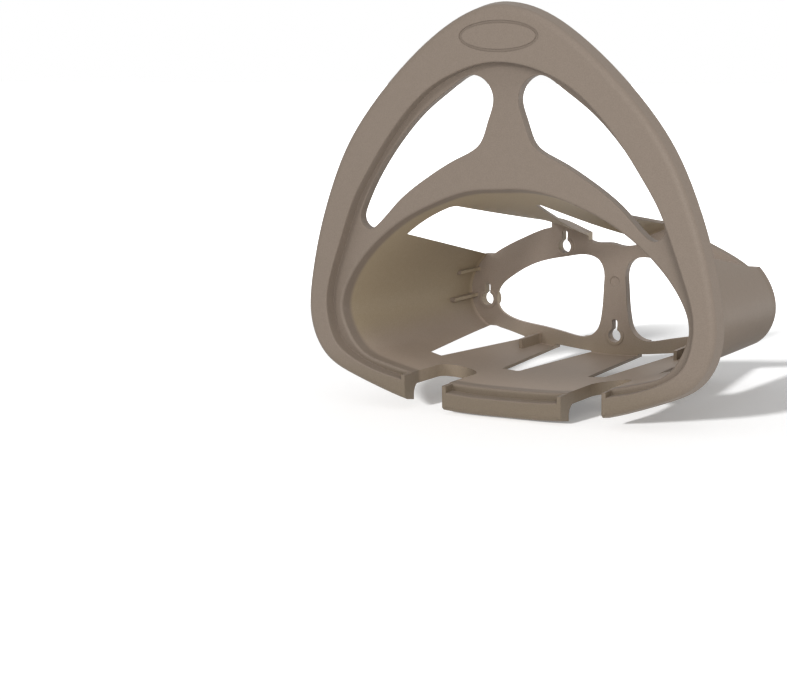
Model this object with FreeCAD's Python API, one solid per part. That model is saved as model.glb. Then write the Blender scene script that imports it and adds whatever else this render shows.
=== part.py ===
import FreeCAD, Part
import os

os.makedirs("parts", exist_ok=True)

# One moulded hose hanger, in millimetres. It is drawn with the wall as the plane Y = 0, the front
# facing -Y and +Z up, and is then moved so that the origin is under its middle, at the base.

DEPTH = 208.5          # wall to the face of the front ring
WALL = 3.0             # moulded wall thickness
SHELL = 2.2            # thinner wall of the drum
FLANGE = 13.5          # how far the ring's outer flange runs back
DRAFT = 2.4            # how much the flange opens out over that depth
RECESS = 10.5          # face of the ring to the recessed web
PLATE = 8.0            # back plate with its rims
EDGE_R = 4.5           # rounded outer edge of the ring
FACE_R = 1.2           # small rounding along the ring's inner edge
MOUTH_R = 2.0          # rounded-over edge of the drum's mouth
WINDOW_R = 0.8         # rounding of the web's window edges
RIM = 8.5              # turned-back rim round each web window, from the web's face

NOTCH_IN = 46.5        # inner and outer side of each notch in the shelf
NOTCH_OUT = 77.0
NOTCH_BACK = 50.0      # where the notch's round end starts, behind the face
LIP = 9.0              # turned-down lip round each notch, from the shelf's top
SHELF_IN = 21.0        # height of the shelf's top at the notch's two sides
SHELF_OUT = 26.5
LEG_R = 8.0            # hollow corner between a leg and the lip
TUCK = 0.6             # how far below the shelf's top the legs and the lip end

# Openings in the drum. Each runs from a start behind the face to the plate, between two sides whose
# distance from the middle is given at the start and at the plate.
TOP_START = 38.0       # upper side openings, beside the two top strips
TOP_SKEW = 4.0         # how much further back their outer corner lies
TOP_OUT = 97.5
TOP_IN = 55.5
TOP_IN_BACK = 54.5
PANEL_TOP = 122.7      # height of the side panels' top edge at their start and at the plate
PANEL_TOP_BACK = 89.3
PANEL_LOW = 29.3       # height of their lower edge at its start and at the plate
PANEL_LOW_BACK = 30.8
VEE_START = 62.0       # opening between the top strips
VEE_HALF = 2.0
VEE_BACK = 22.5
SHELF_START = 86.0     # openings on both sides of the shelf's middle strip
SHELF_GAP_IN = 28.0
SHELF_GAP_OUT = 41.5
MIDDLE_BACK = 20.0     # middle strip's half width at the plate
OUTER_IN_BACK = 51.0   # outer strips' two sides at the plate
OUTER_OUT_BACK = 79.0
LOW_START = 76.0       # openings between the outer strips and the side panels
LOW_IN = 88.0
TOP_LEVEL = 72.0       # the upper openings lie above this height, the shelf's below the other
SHELF_LEVEL = 56.0
TOP_CORNER = 5.0
SHELF_CORNER = 3.0

GUSSET = 2.8           # ribs between the side panels and the plate
LOW_GUSSET = 54.0
LOW_GUSSET_RUN = 36.0
LOW_GUSSET_END = 121.0
TOP_GUSSET = 75.5
TOP_GUSSET_RUN = 30.0
TOP_GUSSET_END = 118.5
GUSSET_FALL = 2.0      # how much lower they are at their blunt front end
SHELF_GUSSET = 65.0    # upright rib on each outer strip, with its run and the height of its top
SHELF_GUSSET_RUN = 35.5
SHELF_GUSSET_TOP = 27.8

KEY_R = 5.2            # keyhole's round part
SLOT_W = 4.6           # keyhole's slot
KEY_RISE = 13.0        # centre of the round part to the top of the slot
BOSS_R = 8.5           # boss behind each keyhole
SIDE_KEY = (112.0, 52.5)
TOP_KEY = (43.0, 98.5)
LOW_KEY = (0.0, 29.5)
PAD_R = 7.6            # faint raised pad round each keyhole
PAD_RISE = 0.5
RIM_REACH = 28.0       # the back windows have rims up to here, beside the upright
MARK = (0.0, 72.5)     # round mark on the plate's upright
MARK_R = 4.0

BADGE = (30.2, 10.8, 266.0)   # blank oval on the ring: half width, half height, middle
BADGE_RIM = 2.0
BADGE_DEEP = 0.9

FRONT = -DEPTH
WEB = FRONT + RECESS
CLEAR = 170.0          # half width that is clear of the whole part

# Half outlines, from the top middle round to the bottom middle; the other half is its mirror image.
RING = [(0, 286.8), (25, 281.4), (55, 263.3), (84, 237.6), (104, 215.5), (122, 190), (136.8, 158.3),
        (147.2, 127.3), (154.6, 94.7), (157, 72.5), (154.2, 53.5), (142.3, 34.4), (121.8, 23.2),
        (99.4, 15), (77.3, 8.2), (47, 3), (0, 1.8)]
STEP = [(0, 248.5), (31, 242.5), (56, 229.5), (80, 206.5), (95, 187), (106, 170.5), (117, 152),
        (124, 135.5), (131, 116.5), (138, 96.5), (142, 77.5), (140.5, 60.5), (134.5, 46), (122, 36),
        (98, 26.5), (79, 22.2), (44, 15.5), (0, 13.8)]
MOUTH = [(0, 161), (28, 159), (56, 150), (80, 138.5), (104, 121), (118.5, 106), (129, 90.5),
         (135, 70), (130, 53.5), (118, 38.5), (99, 31.2), (84, 27.5), (47, 21), (0, 19.5)]
BACK = [(0, 103), (26, 109), (54, 118), (78, 111.5), (100, 99), (114, 87.5), (122.5, 75),
        (126.5, 58.5), (122.5, 43), (112, 32), (95, 26.5), (80, 22.5), (46, 17.5), (0, 14.5)]
PLATE_EDGE = [(0, 101.8), (18, 102.6), (36, 111), (54, 113.3), (74, 106.5), (92, 98), (108, 88),
              (120, 74), (124, 58), (118, 42), (108, 32.5), (92, 27.5), (80, 24), (48, 19),
              (20, 16), (0, 15.5)]

# Closed outlines of the right-hand windows, in order round the edge.
WEB_WINDOW = [(22, 239), (12.3, 231.5), (9.7, 224), (13.7, 208), (20.6, 191.8), (37, 181.9),
              (61.3, 168.2), (85.3, 150.7), (102.3, 133.8), (111, 129.3), (117.3, 135),
              (115.5, 145.5), (103, 169), (85, 193.5), (64, 215), (41, 232)]
BACK_WINDOW = [(9, 74), (10, 57.5), (11.5, 44.5), (15, 33.5), (23, 27.6), (39, 28.4), (65, 33.3),
               (92, 38.8), (101, 45.2), (103.4, 54.5), (101, 62.5), (92, 71), (74, 81.7), (56, 87.7),
               (39, 91), (24, 92.8), (13.5, 89)]


def spline(points):
    """Closed smooth curve through points given as (x, z), in the plane Y = 0."""
    curve = Part.BSplineCurve()
    curve.interpolate(Points=[FreeCAD.Vector(x, 0, z) for x, z in points], PeriodicFlag=True)
    return curve


def whole(half):
    """The half outline and its mirror image, once round."""
    return list(half) + [(-x, z) for x, z in half[-2:0:-1]]


def grown(points, by):
    """Points moved square to the curve, outward for a positive distance."""
    if not by:
        return points
    curve = spline(points)
    middle = sum(z for _, z in points) / len(points)
    cx = sum(x for x, _ in points) / len(points)
    out = []
    for x, z in points:
        t = curve.tangent(curve.parameter(FreeCAD.Vector(x, 0, z)))[0]
        nx, nz = t.z, -t.x
        if nx * (x - cx) + nz * (z - middle) < 0:
            nx, nz = -nx, -nz
        out.append((x + nx * by, z + nz * by))
    return out


def wire(points, y):
    edge = spline(points).toShape()
    edge.translate(FreeCAD.Vector(0, y, 0))
    return Part.Wire([edge])


def slab(points, y0, y1):
    """Solid with this closed outline between two depths."""
    return Part.Face(wire(points, y0)).extrude(FreeCAD.Vector(0, y1 - y0, 0))


def taper(front, y0, back, y1):
    """Solid that runs straight from one outline to the other."""
    return Part.makeLoft([wire(front, y0), wire(back, y1)], True, True)


def plan(points, z0, z1, radii=None):
    """Upright prism from a plan polygon of (x, distance behind the face), corners rounded."""
    vs = [FreeCAD.Vector(x, FRONT + y, z0) for x, y in points]
    solid = Part.Face(Part.makePolygon(vs + [vs[0]])).extrude(FreeCAD.Vector(0, 0, z1 - z0))
    for corner, r in (radii or {}).items():
        v = vs[corner]
        edges = [e for e in solid.Edges
                 if all(abs(p.X - v.x) < 1e-6 and abs(p.Y - v.y) < 1e-6 for p in e.Vertexes)]
        solid = solid.makeFillet(r, edges)
    return solid


def side(points):
    """Prism across the right-hand side from a side-view polygon of (distance behind the face, z)."""
    vs = [FreeCAD.Vector(0, FRONT + y, z) for y, z in points]
    return Part.Face(Part.makePolygon(vs + [vs[0]])).extrude(FreeCAD.Vector(CLEAR, 0, 0))


def box(x0, x1, y0, y1, z0, z1):
    return Part.makeBox(x1 - x0, y1 - y0, z1 - z0, FreeCAD.Vector(x0, y0, z0))


def mirrored(shape):
    return shape.mirror(FreeCAD.Vector(0, 0, 0), FreeCAD.Vector(1, 0, 0))


def both(shape):
    return [shape, mirrored(shape)]


def fillet_at(shape, r, test):
    """Round the edges the test picks out."""
    return shape.makeFillet(r, [e for e in shape.Edges if test(e)])


def in_plane(edge, y):
    b = edge.BoundBox
    return abs(b.YMin - y) < 1e-4 and abs(b.YMax - y) < 1e-4


def ring_body():
    """Outer body of the ring, opening out towards the back, with its rounded front edge."""
    outline = whole(RING)
    body = taper(outline, FRONT, grown(outline, DRAFT), FRONT + FLANGE)
    return fillet_at(body, EDGE_R, lambda e: in_plane(e, FRONT))


def ring(body):
    """Face band, outer flange and inner step as one even wall, with the web across the middle."""
    step = whole(STEP)
    band = body.cut(slab(step, FRONT - 1, WEB))
    band = fillet_at(band, FACE_R, lambda e: in_plane(e, FRONT) and e.BoundBox.ZMax < 249)
    outline = whole(RING)
    hollow = taper(grown(outline, -WALL), FRONT + WALL,
                   grown(outline, DRAFT - WALL), FRONT + FLANGE + 1)
    hollow = hollow.cut(slab(grown(step, WALL), FRONT, FRONT + FLANGE + 2))
    band = band.cut(hollow).fuse(both(slab(grown(WEB_WINDOW, WALL), WEB + 1, WEB + RIM)))
    band = band.cut(both(slab(WEB_WINDOW, WEB - 1, WEB + RIM + 1)))
    return fillet_at(band, WINDOW_R, lambda e: in_plane(e, WEB) and e.BoundBox.XLength < 130)


def drum():
    """Outer and inner body of the tapered drum, from the web to the back plate's face."""
    mouth, back = whole(MOUTH), whole(BACK)
    outer = taper(grown(mouth, SHELL), WEB, grown(back, SHELL), -PLATE)
    inner = taper(mouth, WEB, back, -PLATE)
    return outer, inner


def gap(z0, z1, start, near, far, near_back, far_back, skew=0.0, radii=None):
    """Cutter of one drum opening, widening or narrowing from its start to the plate."""
    flat = DEPTH - PLATE
    return plan([(near, start), (far, start + skew), (far_back, flat), (far_back, DEPTH + 1),
                 (near_back, DEPTH + 1), (near_back, flat)], z0, z1, radii)


def drum_openings():
    """Cuts that leave two side panels, two top strips and three shelf strips."""
    over, under = (TOP_LEVEL, 210), (-5, SHELF_LEVEL)
    start, flat, end = TOP_START + TOP_SKEW, DEPTH - PLATE, DEPTH + 1
    above = side([(0, PANEL_TOP), (start, PANEL_TOP), (flat, PANEL_TOP_BACK),
                  (end, PANEL_TOP_BACK), (end, 220), (0, 220)])
    below = side([(LOW_START - 1, PANEL_LOW), (flat, PANEL_LOW_BACK), (end, PANEL_LOW_BACK),
                  (end, -10), (LOW_START - 1, -10)])
    skew = TOP_SKEW * (CLEAR - TOP_IN) / (TOP_OUT - TOP_IN)
    side_top = gap(*over, TOP_START, TOP_IN, CLEAR, TOP_IN_BACK, CLEAR, skew,
                   {0: TOP_CORNER}).common(above)
    centre = gap(*over, VEE_START, -VEE_HALF, VEE_HALF, -VEE_BACK, VEE_BACK)
    side_low = gap(*under, LOW_START, LOW_IN, CLEAR, OUTER_OUT_BACK, CLEAR).common(below)
    mid_low = gap(*under, SHELF_START, SHELF_GAP_IN, SHELF_GAP_OUT, MIDDLE_BACK, OUTER_IN_BACK,
                  0.0, {0: SHELF_CORNER})
    return both(side_top) + both(side_low) + both(mid_low) + [centre]


def notch(grow):
    """Upright prism of one notch in the shelf, open to the front with a round back end."""
    mid, r = (NOTCH_IN + NOTCH_OUT) / 2, (NOTCH_OUT - NOTCH_IN) / 2 + grow
    way = box(mid - r, mid + r, FRONT - 2, FRONT + NOTCH_BACK, -5, 44)
    end = Part.makeCylinder(r, 49, FreeCAD.Vector(mid, FRONT + NOTCH_BACK, -5))
    return way.fuse(end)


def lip(inner):
    """Wall round the notch: legs at the front edge, then a turned-down lip under the shelf."""
    wall = notch(WALL).cut(notch(0))
    under = inner.copy()
    under.translate(FreeCAD.Vector(0, 0, -LIP))
    mouth, back = grown(whole(MOUTH), TUCK), grown(whole(BACK), TUCK)
    above = [slab(mouth, FRONT - 1, WEB), taper(mouth, WEB, back, -PLATE)]
    outline = whole(RING)
    skirt = taper(grown(outline, -WALL / 2), FRONT, grown(outline, DRAFT - WALL / 2), FRONT + FLANGE)
    back_y = FRONT + FLANGE
    pieces = [wall.common(under).cut(above), wall.common(skirt).cut(above)]
    for x, shelf in ((NOTCH_IN, SHELF_IN), (NOTCH_OUT, SHELF_OUT)):
        low = shelf - LIP
        corner = wall.common(box(x - 8, x + 8, back_y - 1, back_y + LEG_R, low - LEG_R, low + 6))
        roll = Part.makeCylinder(LEG_R, 16, FreeCAD.Vector(x - 8, back_y + LEG_R, low - LEG_R),
                                 FreeCAD.Vector(1, 0, 0))
        pieces.append(corner.cut(above + [roll]))
    return pieces[0].fuse(pieces[1:])


def disc(at, r, y0, y1):
    return Part.makeCylinder(r, y1 - y0, FreeCAD.Vector(at[0], y0, at[1]), FreeCAD.Vector(0, 1, 0))


def key_shape(at, r, half, y0, y1):
    """Disc with a round-ended slot running up from it."""
    x, z = at
    top = z + KEY_RISE - SLOT_W / 2
    return disc(at, r, y0, y1).fuse([disc((x, top), half, y0, y1),
                                     box(x - half, x + half, y0, y1, z, top)])


def keyhole(at, y0, y1):
    return key_shape(at, KEY_R, SLOT_W / 2, y0, y1)


def boss(at, y0, y1):
    """Solid surround of a keyhole."""
    return key_shape(at, BOSS_R, SLOT_W / 2 + WALL, y0, y1)


def keys():
    x1, z1 = SIDE_KEY
    x2, z2 = TOP_KEY
    return [SIDE_KEY, (-x1, z1), TOP_KEY, (-x2, z2), LOW_KEY]


def plate():
    """Back plate: a thin face with rims round its edge, its windows and its keyholes."""
    outline = whole(PLATE_EDGE)
    body = slab(outline, -PLATE, 0)
    full = slab(grown(whole(BACK), SHELL), -PLATE, 0)
    top, low = (TOP_LEVEL, 130), (0, SHELF_LEVEL)
    keep = [box(OUTER_OUT_BACK, CLEAR, -PLATE, 0, PANEL_LOW_BACK, PANEL_TOP_BACK),
            box(VEE_BACK, TOP_IN_BACK, -PLATE, 0, *top),
            box(OUTER_IN_BACK, OUTER_OUT_BACK, -PLATE, 0, *low)]
    ends = [full.common(k) for b in keep for k in both(b)]
    ends.append(full.common(box(-MIDDLE_BACK, MIDDLE_BACK, -PLATE, 0, *low)))
    hollow = slab(grown(outline, -WALL), -PLATE + WALL, 1)
    rim = slab(grown(BACK_WINDOW, WALL), -PLATE, 1).common(box(0, RIM_REACH, -PLATE, 1, 0, 130))
    rims = both(rim) + [boss(k, -PLATE, 1) for k in keys()]
    body = body.fuse(ends).cut(hollow.cut(rims))
    pads = [disc(k, PAD_R, -PLATE - PAD_RISE, -PLATE + 1) for k in keys()]
    body = body.fuse(pads).cut(disc(MARK, MARK_R, -PLATE - 1, -PLATE + PAD_RISE))
    window = slab(BACK_WINDOW, -PLATE - 1, 1)
    return body.cut(both(window) + [keyhole(k, -PLATE - 1, 1) for k in keys()])


def gussets(outer):
    """Short low ribs from the side panels and the outer strips to the plate, blunt at the front."""
    ribs = []
    for z, run, reach in ((LOW_GUSSET, LOW_GUSSET_RUN, LOW_GUSSET_END),
                          (TOP_GUSSET, TOP_GUSSET_RUN, TOP_GUSSET_END)):
        flat = DEPTH - PLATE
        front = flat - run
        ends = [(136, front), (reach + GUSSET_FALL, front), (reach, flat + 1), (136, flat + 1)]
        ribs += both(plan(ends, z, z + GUSSET).common(outer))
    x, flat = SHELF_GUSSET, -PLATE
    upright = box(x - GUSSET / 2, x + GUSSET / 2, flat - SHELF_GUSSET_RUN, flat + 1, 0, SHELF_GUSSET_TOP)
    return ribs + both(upright.common(outer))


def oval(half, high, deep):
    """Elliptical cutter in the ring's face."""
    edge = Part.Ellipse(FreeCAD.Vector(0, 0, 0), half, high).toShape()
    edge.rotate(FreeCAD.Vector(0, 0, 0), FreeCAD.Vector(1, 0, 0), 90)
    edge.translate(FreeCAD.Vector(0, FRONT - 1, BADGE[2]))
    return Part.Face(Part.Wire([edge])).extrude(FreeCAD.Vector(0, 1 + deep, 0))


def badge():
    """Shallow groove round a blank oval."""
    half, high, _ = BADGE
    return oval(half, high, BADGE_DEEP).cut(oval(half - BADGE_RIM, high - BADGE_RIM, BADGE_DEEP + 1))


def hanger():
    body = ring_body()
    outer, inner = drum()
    front = ring(body).cut(badge())
    shell = front.fuse(outer.common(box(-200, 200, WEB + 1, 0, 0, 300))).cut(inner)
    shell = fillet_at(shell, MOUTH_R, lambda e: in_plane(e, WEB) and e.BoundBox.XLength > 200
                      and 140 < e.BoundBox.ZMax < 175)
    shell = shell.cut(drum_openings()).cut(both(notch(0)))
    turned = lip(inner)
    for piece in [plate(), turned, mirrored(turned)] + gussets(outer):
        shell = shell.fuse(piece)
    return shell


part = hanger()
part.translate(FreeCAD.Vector(0, DEPTH / 2, -part.BoundBox.ZMin))
part.exportStep("parts/hose_hanger.step")
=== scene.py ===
import math
import bpy
from mathutils import Matrix, Vector


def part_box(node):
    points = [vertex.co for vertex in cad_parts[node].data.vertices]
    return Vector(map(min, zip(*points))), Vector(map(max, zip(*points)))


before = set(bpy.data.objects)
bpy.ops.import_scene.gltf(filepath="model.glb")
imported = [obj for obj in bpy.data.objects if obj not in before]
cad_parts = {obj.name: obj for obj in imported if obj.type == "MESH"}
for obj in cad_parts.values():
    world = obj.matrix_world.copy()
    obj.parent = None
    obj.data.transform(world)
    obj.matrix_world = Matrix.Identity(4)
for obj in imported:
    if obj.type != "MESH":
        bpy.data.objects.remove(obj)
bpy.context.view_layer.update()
scene = bpy.context.scene


# ---- Moulded grain -------------------------------------------------------------------------------
# The mould's surface is spark-eroded, so the plastic has a fine, even stipple. It is made once as a
# group: a height for the bump and a faint mottling of the colour, in object coordinates.
MM = 0.001
GRAIN_CELL = 0.9 * MM    # size of one dimple
BROAD_SCALE = 220.0      # patches to the metre of the broader mottling
FINE_SHARE = 0.8         # what the fine stipple gives to the mottling; the broad one gives the rest


class Tree:
    """Short hand for building a node tree."""

    def __init__(self, tree):
        self.t = tree

    def add(self, kind, x=0, y=0, **values):
        node = self.t.nodes.new(kind)
        node.location = (x, y)
        for key, value in values.items():
            setattr(node, key, value)
        return node

    def link(self, a, b):
        self.t.links.new(a, b)

    def math(self, op, a, b=None, c=None, x=0, y=0):
        """A Math node; each of a, b and c is a number or a socket."""
        node = self.add("ShaderNodeMath", x, y, operation=op)
        for i, v in enumerate((a, b, c)):
            if v is None:
                continue
            if isinstance(v, (int, float)):
                node.inputs[i].default_value = v
            else:
                self.link(v, node.inputs[i])
        return node.outputs[0]

    def between(self, value, start, end, x, y):
        """0 before start and 1 past end, with a smooth step; start may be the larger."""
        rising = start < end
        node = self.add("ShaderNodeMapRange", x, y, interpolation_type="SMOOTHSTEP")
        self.link(value, node.inputs["Value"])
        node.inputs["From Min"].default_value = min(start, end)
        node.inputs["From Max"].default_value = max(start, end)
        node.inputs["To Min"].default_value = 0.0 if rising else 1.0
        node.inputs["To Max"].default_value = 1.0 if rising else 0.0
        return node.outputs["Result"]


def noise(t, where, scale, detail, y):
    node = t.add("ShaderNodeTexNoise", -450, y, noise_dimensions="3D")
    node.inputs["Detail"].default_value = detail
    t.link(where.outputs["Object"], node.inputs["Vector"])
    if isinstance(scale, float):
        node.inputs["Scale"].default_value = scale
    else:
        t.link(scale, node.inputs["Scale"])
    return node


def grain_group():
    group = bpy.data.node_groups.new("moulded_grain", "ShaderNodeTree")
    for name, value in (("Cell", GRAIN_CELL), ("Deep", 1.0)):
        socket = group.interface.new_socket(name=name, in_out="INPUT",
                                            socket_type="NodeSocketFloat")
        socket.default_value = value
    for name in ("Height", "Mottle"):
        group.interface.new_socket(name=name, in_out="OUTPUT", socket_type="NodeSocketFloat")
    t = Tree(group)
    given = t.add("NodeGroupInput", -900, 0)
    result = t.add("NodeGroupOutput", 500, 0)
    where = t.add("ShaderNodeTexCoord", -900, 300)
    per_metre = t.math("DIVIDE", 1.0, given.outputs["Cell"], x=-700, y=120)
    fine = noise(t, where, per_metre, 2.0, 200)
    fine.inputs["Roughness"].default_value = 0.6
    broad = noise(t, where, BROAD_SCALE, 3.0, -150)
    t.link(t.math("MULTIPLY", fine.outputs["Fac"], given.outputs["Deep"], x=-150, y=150),
           result.inputs["Height"])
    most = t.math("MULTIPLY", fine.outputs["Fac"], FINE_SHARE, x=-150, y=-120)
    t.link(t.math("MULTIPLY_ADD", broad.outputs["Fac"], 1.0 - FINE_SHARE, most, x=50, y=-120),
           result.inputs["Mottle"])
    return group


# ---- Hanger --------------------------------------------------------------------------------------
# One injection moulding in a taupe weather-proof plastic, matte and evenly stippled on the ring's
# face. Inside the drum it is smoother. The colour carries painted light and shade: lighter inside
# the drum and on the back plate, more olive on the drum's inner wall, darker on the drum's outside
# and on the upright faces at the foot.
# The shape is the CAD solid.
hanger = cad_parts["hose_hanger"]
low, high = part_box("hose_hanger")
FACE_Y = low[1]                    # plane of the ring's face
WALL_Y = high[1]                   # plane of the wall
AXIS_Z = 0.068                     # height of the line through the middle of the drum

DARK = (130, 117, 105)             # the two ends of the mottling, as screen colours
LIGHT = (137, 124, 112)
MOTTLE = (0.36, 0.64)              # where in the noise those ends lie
SMOOTH = 0.35                      # depth of the stipple behind the ring's face, where it is 1

# Painted light and shade: each of these tints multiplies the colour where its mask below falls.
PAINTED_LIGHT_INSIDE = (1.6, 1.6, 1.6, 1)     # painted light behind the web, on what faces into the drum's shade
PAINTED_OLIVE_SHADE = (1.0, 1.0, 0.84, 1)   # painted shade colour: a more olive cast on the drum's inner wall
PAINTED_SHADE_OUTSIDE = (0.93, 0.89, 0.83, 1)         # painted shade on the outside of the drum
PAINTED_LIGHT_PLATE = (1.3, 1.32, 1.36, 1)          # painted light on the back plate, which the ring and drum shade
PAINTED_SHADE_FOOT = (0.84, 0.83, 0.75, 1)          # painted shade on the upright faces at the foot


def srgb(r, g, b):
    """Linear colour of a screen colour given from 0 to 255."""
    def one(v):
        v /= 255
        return v / 12.92 if v <= 0.04045 else ((v + 0.055) / 1.055) ** 2.4
    return (one(r), one(g), one(b), 1.0)


def turned_out(t, where, split):
    """Cosine of the angle between the surface's normal and the way out from the drum's axis."""
    level = t.math("SUBTRACT", split.outputs["Z"], AXIS_Z, x=-500, y=-700)
    spoke = t.add("ShaderNodeCombineXYZ", -300, -700)
    t.link(split.outputs["X"], spoke.inputs["X"])
    t.link(level, spoke.inputs["Z"])
    unit = t.add("ShaderNodeVectorMath", -100, -700, operation="NORMALIZE")
    t.link(spoke.outputs[0], unit.inputs[0])
    turned = t.add("ShaderNodeVectorMath", 100, -700, operation="DOT_PRODUCT")
    t.link(unit.outputs[0], turned.inputs[0])
    t.link(where.outputs["Normal"], turned.inputs[1])
    return turned.outputs["Value"]


def painted_light_and_shade(t, where, split):
    """Pairs of a mask and the painted light or shade that multiplies the colour there, for the sides
    of the moulding.
    """
    y, z = split.outputs["Y"], split.outputs["Z"]
    turned = turned_out(t, where, split)
    behind = t.between(y, FACE_Y + 19 * MM, FACE_Y + 25 * MM, 300, -950)

    # Painted light inside the drum, lifting its shade.
    inward = t.between(turned, 0.45, -0.4, 300, -700)
    lit_inside = t.math("MULTIPLY", inward, behind, x=500, y=-800)

    # Painted shade colour on the drum's curved inner wall above the shelf.
    curved = t.between(turned, -0.2, -0.6, 300, -1200)
    upper = t.between(z, 36 * MM, 60 * MM, 300, -1450)
    olive_shade = t.math("MULTIPLY", lit_inside, t.math("MULTIPLY", curved, upper, x=500, y=-1200),
                   x=700, y=-1000)

    # Painted shade on the drum's outside.
    outward = t.between(turned, 0.4, 0.8, 300, -1700)
    shaded_outside = t.math("MULTIPLY", outward, behind, x=500, y=-1700)

    # Painted light on the back plate.
    at_plate = t.between(y, WALL_Y - 14 * MM, WALL_Y - 10 * MM, 300, -1950)
    lit_plate = t.math("MULTIPLY", t.math("SUBTRACT", 1.0, outward, x=500, y=-1950), at_plate,
                   x=700, y=-1950)

    # Painted shade on the low upright faces of the foot.
    facing = t.add("ShaderNodeSeparateXYZ", 100, -2450)
    t.link(where.outputs["Normal"], facing.inputs[0])
    upright = t.between(facing.outputs["Z"], 0.75, 0.3, 300, -2450)
    shaded_foot = t.math("MULTIPLY", t.between(z, 48 * MM, 14 * MM, 300, -2200), upright,
                  x=500, y=-2200)
    return ((lit_inside, PAINTED_LIGHT_INSIDE), (olive_shade, PAINTED_OLIVE_SHADE), (shaded_outside, PAINTED_SHADE_OUTSIDE), (lit_plate, PAINTED_LIGHT_PLATE),
            (shaded_foot, PAINTED_SHADE_FOOT))


def plastic():
    mat = bpy.data.materials.new("moulded_taupe")
    mat.use_nodes = True
    mat.node_tree.nodes.clear()
    t = Tree(mat.node_tree)
    out = t.add("ShaderNodeOutputMaterial", 1300, 0)
    shader = t.add("ShaderNodeBsdfPrincipled", 1000, 0)
    t.link(shader.outputs[0], out.inputs["Surface"])
    shader.inputs["IOR"].default_value = 1.46
    shader.inputs["Roughness"].default_value = 0.52
    shader.inputs["Specular IOR Level"].default_value = 0.32
    where = t.add("ShaderNodeTexCoord", -900, -300)
    split = t.add("ShaderNodeSeparateXYZ", -700, -300)
    t.link(where.outputs["Object"], split.inputs[0])

    grain = t.add("ShaderNodeGroup", -250, 100)
    grain.node_tree = grain_group()
    past = t.between(split.outputs["Y"], FACE_Y + 13 * MM, FACE_Y + 17 * MM, -650, 100)
    t.link(t.math("MULTIPLY_ADD", past, SMOOTH - 1.0, 1.0, x=-450, y=100), grain.inputs["Deep"])

    ramp = t.add("ShaderNodeValToRGB", 0, 250)
    for element, place, tone in zip(ramp.color_ramp.elements, MOTTLE, (DARK, LIGHT)):
        element.position = place
        element.color = srgb(*tone)
    t.link(grain.outputs["Mottle"], ramp.inputs["Fac"])
    color = ramp.outputs["Color"]
    # Painted light and shade: each mask multiplies the colour by its tint, lighter or darker.
    for k, (mask, light_paint) in enumerate(painted_light_and_shade(t, where, split)):
        mix = t.add("ShaderNodeMix", 250 + 150 * k, 300, data_type="RGBA", blend_type="MULTIPLY")
        t.link(mask, mix.inputs["Factor"])
        t.link(color, mix.inputs["A"])
        mix.inputs["B"].default_value = light_paint
        color = mix.outputs["Result"]
    t.link(color, shader.inputs["Base Color"])

    soft = t.add("ShaderNodeBevel", 0, -250, samples=6)
    soft.inputs["Radius"].default_value = 0.7 * MM
    bump = t.add("ShaderNodeBump", 300, -200)
    bump.inputs["Strength"].default_value = 0.5
    bump.inputs["Distance"].default_value = 0.05 * MM
    t.link(grain.outputs["Height"], bump.inputs["Height"])
    t.link(soft.outputs["Normal"], bump.inputs["Normal"])
    t.link(bump.outputs["Normal"], shader.inputs["Normal"])
    return mat


hanger.material_slots[0].material = plastic()


# ---- Floor and light -----------------------------------------------------------------------------
# A white floor and backdrop, with the soft shadow that the hanger throws back and to the right. An
# even sky, a soft lamp at the front right and three weak suns light the hanger; one sun of its own
# lights the floor.
FLOOR_HALF = 6.0
FLOOR_LIFT = 0.20                  # how much whiter the camera sees the floor near the hanger
FADE = (0.27, 0.42)                # between these distances behind it, the floor turns all white
SKY = 0.36                         # strength of the sky on the hanger; the camera sees it as 1
KEY = (-0.2, -0.98, 0.335)         # where the light that throws the shadow comes from


def seen(t, x, y):
    """1 for what the camera sees directly, in a reflection or through glass."""
    path = t.add("ShaderNodeLightPath", x, y)
    some = t.math("MAXIMUM", path.outputs["Is Camera Ray"], path.outputs["Is Glossy Ray"],
                  x=x + 200, y=y)
    return t.math("MAXIMUM", some, path.outputs["Is Transmission Ray"], x=x + 400, y=y)


def add_object(name, data):
    obj = bpy.data.objects.new(name, data)
    scene.collection.objects.link(obj)
    return obj


def floor():
    s = FLOOR_HALF
    mesh = bpy.data.meshes.new("floor")
    mesh.from_pydata([(-s, -s, 0), (s, -s, 0), (s, s, 0), (-s, s, 0)], [], [(0, 1, 2, 3)])
    obj = add_object("floor", mesh)
    mat = bpy.data.materials.new("floor_white")
    mat.use_nodes = True
    shader = mat.node_tree.nodes["Principled BSDF"]
    shader.inputs["Base Color"].default_value = (0.88, 0.88, 0.88, 1)
    shader.inputs["Roughness"].default_value = 0.9
    shader.inputs["Emission Color"].default_value = (1, 1, 1, 1)
    t = Tree(mat.node_tree)
    where = t.add("ShaderNodeTexCoord", -900, -450)
    split = t.add("ShaderNodeSeparateXYZ", -700, -450)
    t.link(where.outputs["Object"], split.inputs[0])
    far = t.between(split.outputs["Y"], *FADE, -500, -450)
    lift = t.math("MULTIPLY_ADD", far, 1.0 - FLOOR_LIFT, FLOOR_LIFT, x=-300, y=-450)
    t.link(t.math("MULTIPLY", seen(t, -900, -200), lift, x=-100, y=-200),
           shader.inputs["Emission Strength"])
    mesh.materials.append(mat)
    return obj


def sun(name, source, strength, angle):
    """Even light from the direction of source; the angle makes its shadows soft."""
    data = bpy.data.lights.new(name, "SUN")
    data.energy = strength
    data.angle = math.radians(angle)
    obj = add_object(name, data)
    obj.matrix_world = Vector(source).to_track_quat("Z", "Y").to_matrix().to_4x4()
    return obj


def softbox(name, place, target, side, watts):
    """A square soft lamp at place, turned towards target."""
    data = bpy.data.lights.new(name, "AREA")
    data.size = side
    data.energy = watts
    obj = add_object(name, data)
    turn = (Vector(place) - Vector(target)).to_track_quat("Z", "Y")
    obj.matrix_world = Matrix.Translation(place) @ turn.to_matrix().to_4x4()
    return obj


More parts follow.
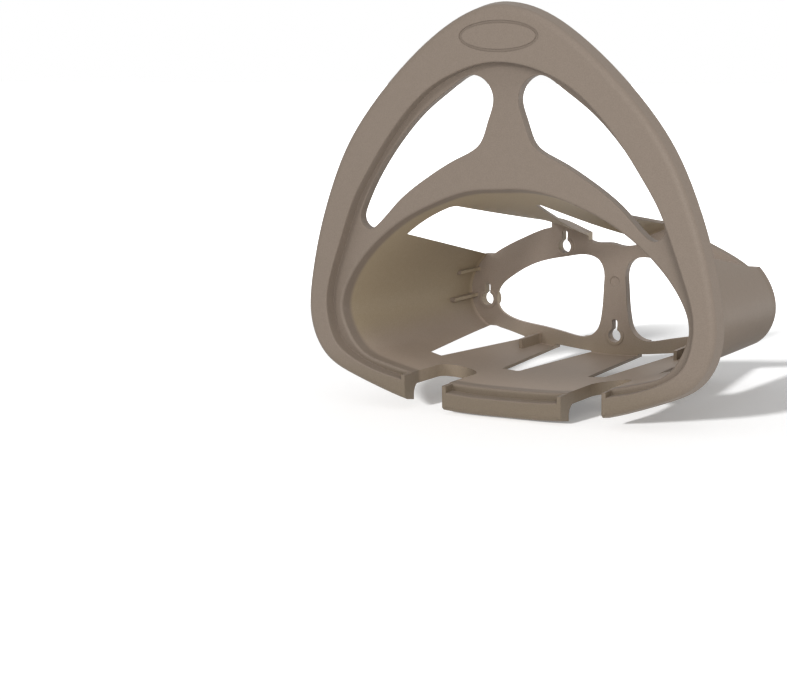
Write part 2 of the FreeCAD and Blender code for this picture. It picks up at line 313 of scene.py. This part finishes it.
def light_only(name, receiver, lamps):
    """The lamps light the receiver alone; everything still throws its shadow."""
    group = bpy.data.collections.new(name)
    group.objects.link(receiver)
    for lamp in lamps:
        lamp.light_linking.receiver_collection = group


def sky():
    world = bpy.data.worlds.new("studio")
    scene.world = world
    world.use_nodes = True
    back = world.node_tree.nodes["Background"]
    back.inputs["Color"].default_value = (1.0, 1.0, 1.0, 1)
    t = Tree(world.node_tree)
    t.link(t.math("MULTIPLY_ADD", seen(t, -900, 0), 1.0 - SKY, SKY, x=-300, y=0),
           back.inputs["Strength"])


ground = floor()
light_only("hanger_light", hanger, [
    softbox("front", (0.7, -0.95, 0.5), (0.0, -0.1, 0.14), 0.3, 4.3),
    sun("top", (0.1, -0.35, 1.0), 0.65, 30),
    sun("key", KEY, 0.45, 5),
    sun("fill", (0.9, -0.3, 0.2), 0.25, 40)])
light_only("ground_light", ground, [sun("ground_key", KEY, 5.8, 5)])
sky()


# ---- Camera --------------------------------------------------------------------------------------
# Fitted to the mirrored edges of the hanger: 1.4 m away, 30 degrees to the right, 10 above level.
FOCAL = 1916.1668 / 787            # focal length as a share of the picture's width
SENSOR = 36.0
AZIMUTH, ELEVATION, ROLL = 0.5242, 0.1712, -0.016
EYE = Vector((0.5952649, -1.2822268, 0.2795844))


def camera():
    data = bpy.data.cameras.new("camera")
    data.sensor_fit = "HORIZONTAL"
    data.sensor_width = SENSOR
    data.lens = FOCAL * SENSOR
    data.clip_end = 50.0
    obj = add_object("camera", data)
    ahead = Vector((-math.sin(AZIMUTH) * math.cos(ELEVATION),
                    math.cos(AZIMUTH) * math.cos(ELEVATION),
                    -math.sin(ELEVATION)))
    right = Vector((math.cos(AZIMUTH), math.sin(AZIMUTH), 0))
    up = right.cross(ahead)
    tilt_right = right * math.cos(ROLL) + up * math.sin(ROLL)
    tilt_up = up * math.cos(ROLL) - right * math.sin(ROLL)
    turn = Matrix((tilt_right, tilt_up, -ahead)).transposed()
    obj.matrix_world = Matrix.Translation(EYE) @ turn.to_4x4()
    scene.camera = obj


camera()
scene.view_settings.view_transform = "Standard"
